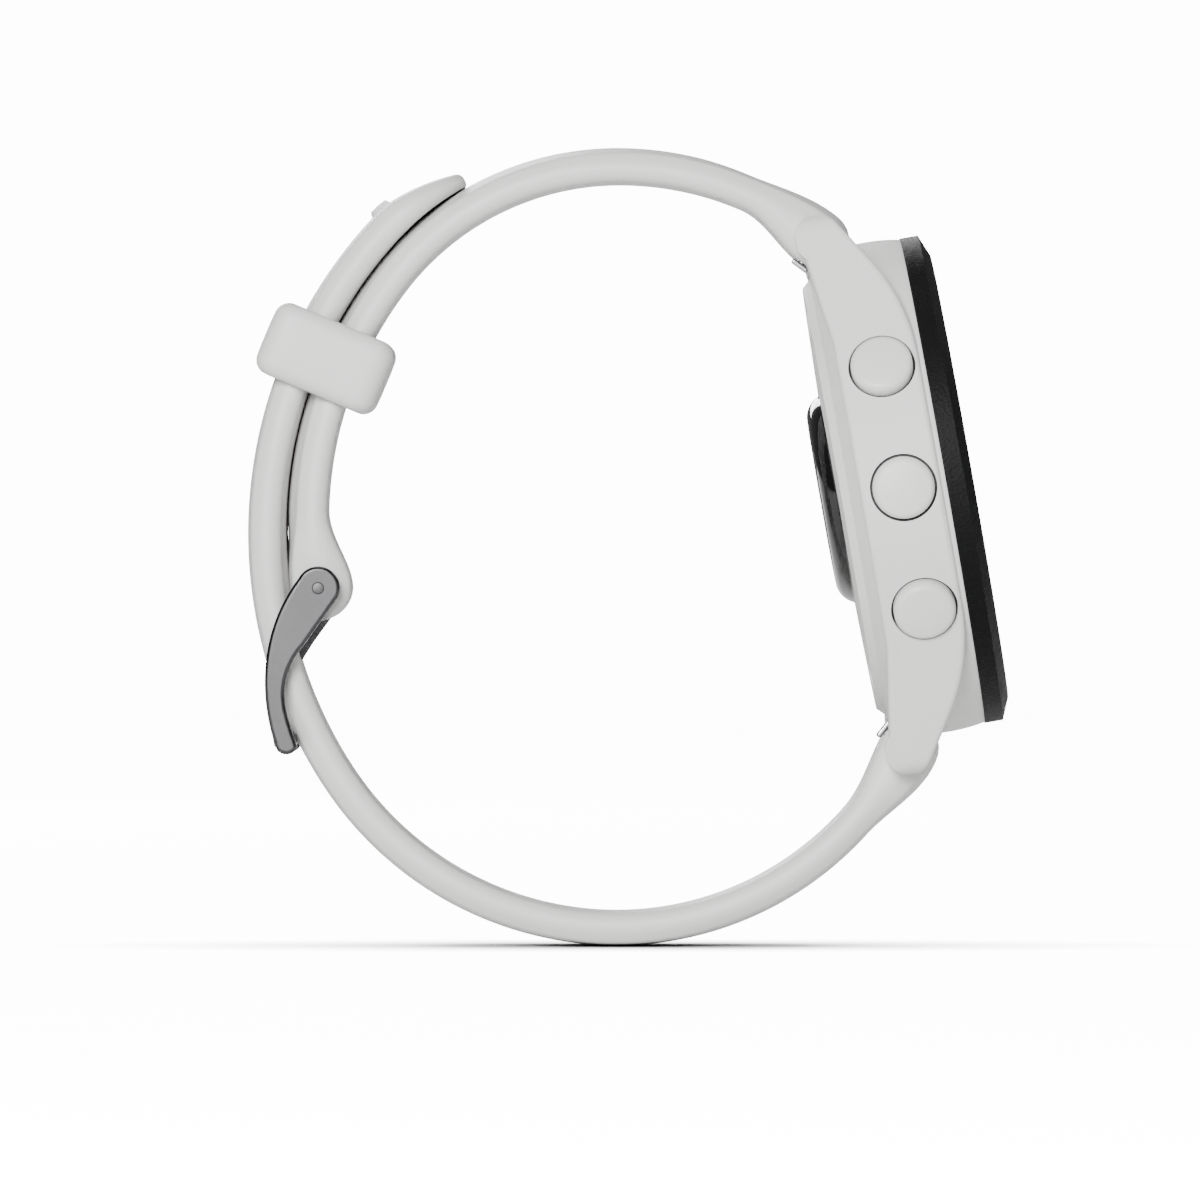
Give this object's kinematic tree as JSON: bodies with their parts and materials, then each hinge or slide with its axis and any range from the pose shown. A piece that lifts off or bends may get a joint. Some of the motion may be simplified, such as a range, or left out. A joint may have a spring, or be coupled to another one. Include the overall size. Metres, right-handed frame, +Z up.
{
  "type": "gps running watch",
  "caption": "Round sports watch with side buttons on a soft buckled strap, standing on its closed strap loop.",
  "frame": {"origin": "middle of the bottom of the whole watch as it stands on its closed strap, on the floor", "axes": "+X is the way the dial faces (it leans back by 10 degrees), +Z up towards 12 o'clock, Y across the strap width with +Y towards 3 o'clock"},
  "size_m": [0.0664, 0.0448, 0.0695],
  "materials": {
    "case_polymer": "bead-textured light grey polymer",
    "bezel_black": "fine grained black polymer",
    "lens_glass": "polished cover glass",
    "black_gloss": "polished black",
    "black_polymer": "moulded black",
    "seal_rubber": "smooth black rubber",
    "antenna_metal": "stamped",
    "spring_steel": "bright steel",
    "circuit_board": "solder mask",
    "led_clear": "clear resin",
    "gold_contact": "gold plated",
    "battery_foil": "laminated foil",
    "silicone": "matt light grey silicone",
    "buckle_steel": "bead-blasted dark grey",
    "button_polymer": "matt light grey"
  },
  "bodies": {
    "case": {"main_case": "case_polymer", "bezel": "bezel_black", "front_lens": "lens_glass", "lens_seal": "seal_rubber", "display_module": "black_gloss", "antenna_ring": "antenna_metal", "back_cover": "case_polymer", "back_cover_seal": "seal_rubber", "back_screws": "spring_steel", "sensor_window": "black_gloss", "sensor_board": "circuit_board", "sensor_leds": "led_clear", "charging_port": "black_polymer", "charging_contacts": "gold_contact", "pressure_vent": "black_polymer", "chassis": "black_polymer", "battery": "battery_foil", "vibration_motor": "spring_steel", "main_board": "circuit_board", "shield_can": "spring_steel", "beeper": "black_polymer", "side_switches": "spring_steel"},
    "light_button_body": {"light_button": "button_polymer", "light_button_clip": "spring_steel", "light_button_seal": "seal_rubber"},
    "up_button_body": {"up_button": "button_polymer", "up_button_clip": "spring_steel", "up_button_seal": "seal_rubber"},
    "down_button_body": {"down_button": "button_polymer", "down_button_clip": "spring_steel", "down_button_seal": "seal_rubber"},
    "start_button_body": {"start_button": "button_polymer", "start_button_clip": "spring_steel", "start_button_seal": "seal_rubber"},
    "back_button_body": {"back_button": "button_polymer", "back_button_clip": "spring_steel", "back_button_seal": "seal_rubber"},
    "upper_strap_body": {"upper_strap": "silicone", "upper_bar_tube": "spring_steel", "upper_bar_spring": "spring_steel"},
    "lower_strap_body": {"lower_strap": "silicone", "lower_bar_tube": "spring_steel", "lower_bar_spring": "spring_steel"},
    "keeper_body": {"keeper": "silicone"},
    "buckle_body": {"buckle_frame": "buckle_steel", "buckle_pin": "spring_steel"},
    "tongue_body": {"buckle_tongue": "buckle_steel"},
    "upper_release_body": {"upper_bar_slider": "spring_steel"},
    "lower_release_body": {"lower_bar_slider": "spring_steel"}
  },
  "joints": [
    {"name": "light_button_press", "type": "slide", "parent": "case", "child": "light_button_body", "axis": [0.0842, 0.8746, -0.4774], "range_m": [0, 0.0005], "stiffness_N_per_m": 2500, "springref_m": -0.0002},
    {"name": "up_button_press", "type": "slide", "parent": "case", "child": "up_button_body", "axis": [0, 1, 0], "range_m": [0, 0.0005], "stiffness_N_per_m": 2500, "springref_m": -0.0002},
    {"name": "down_button_press", "type": "slide", "parent": "case", "child": "down_button_body", "axis": [-0.0842, 0.8746, 0.4774], "range_m": [0, 0.0005], "stiffness_N_per_m": 2500, "springref_m": -0.0002},
    {"name": "start_button_press", "type": "slide", "parent": "case", "child": "start_button_body", "axis": [0.0868, -0.866, -0.4924], "range_m": [0, 0.0005], "stiffness_N_per_m": 2500, "springref_m": -0.0002},
    {"name": "back_button_press", "type": "slide", "parent": "case", "child": "back_button_body", "axis": [-0.0868, -0.866, 0.4924], "range_m": [0, 0.0005], "stiffness_N_per_m": 2500, "springref_m": -0.0002},
    {"name": "upper_strap_hinge", "type": "hinge", "parent": "case", "child": "upper_strap_body", "pos_m": [0.01671, 0.0005, 0.06162], "axis": [0, 1, 0], "range_deg": [0, 45], "deforming": ["upper_strap"]},
    {"name": "lower_strap_hinge", "type": "hinge", "parent": "case", "child": "lower_strap_body", "pos_m": [0.02455, 0.0005, 0.01716], "axis": [0, 1, 0], "range_deg": [-45, 0], "deforming": ["lower_strap"]},
    {"name": "buckle_hinge", "type": "hinge", "parent": "upper_strap_body", "child": "buckle_body", "pos_m": [-0.02694, 0.0005, 0.03123], "axis": [0, 1, 0], "range_deg": [0, 55]},
    {"name": "tongue_hinge", "type": "hinge", "parent": "buckle_body", "child": "tongue_body", "pos_m": [-0.02694, 0.0005, 0.03123], "axis": [0, 1, 0], "range_deg": [0, 12]},
    {"name": "keeper_slide", "type": "hinge", "parent": "upper_strap_body", "child": "keeper_body", "pos_m": [0.007, 0.0005, 0.03716], "axis": [0, 1, 0], "range_deg": [-3.5, 3.5]},
    {"name": "upper_quick_release", "type": "slide", "parent": "upper_strap_body", "child": "upper_release_body", "axis": [0, 1, 0], "range_m": [0, 0.0013], "stiffness_N_per_m": 500, "springref_m": -0.0008, "deforming": ["upper_bar_spring"]},
    {"name": "lower_quick_release", "type": "slide", "parent": "lower_strap_body", "child": "lower_release_body", "axis": [0, 1, 0], "range_m": [0, 0.0013], "stiffness_N_per_m": 500, "springref_m": -0.0008, "deforming": ["lower_bar_spring"]}
  ],
  "couplings": [
    {"joint": "lower_strap_hinge", "follows": "upper_strap_hinge", "ratio": -1},
    {"joint": "buckle_hinge", "follows": "upper_strap_hinge", "ratio": 1.2},
    {"joint": "tongue_hinge", "follows": "upper_strap_hinge", "ratio": 0.25}
  ]
}
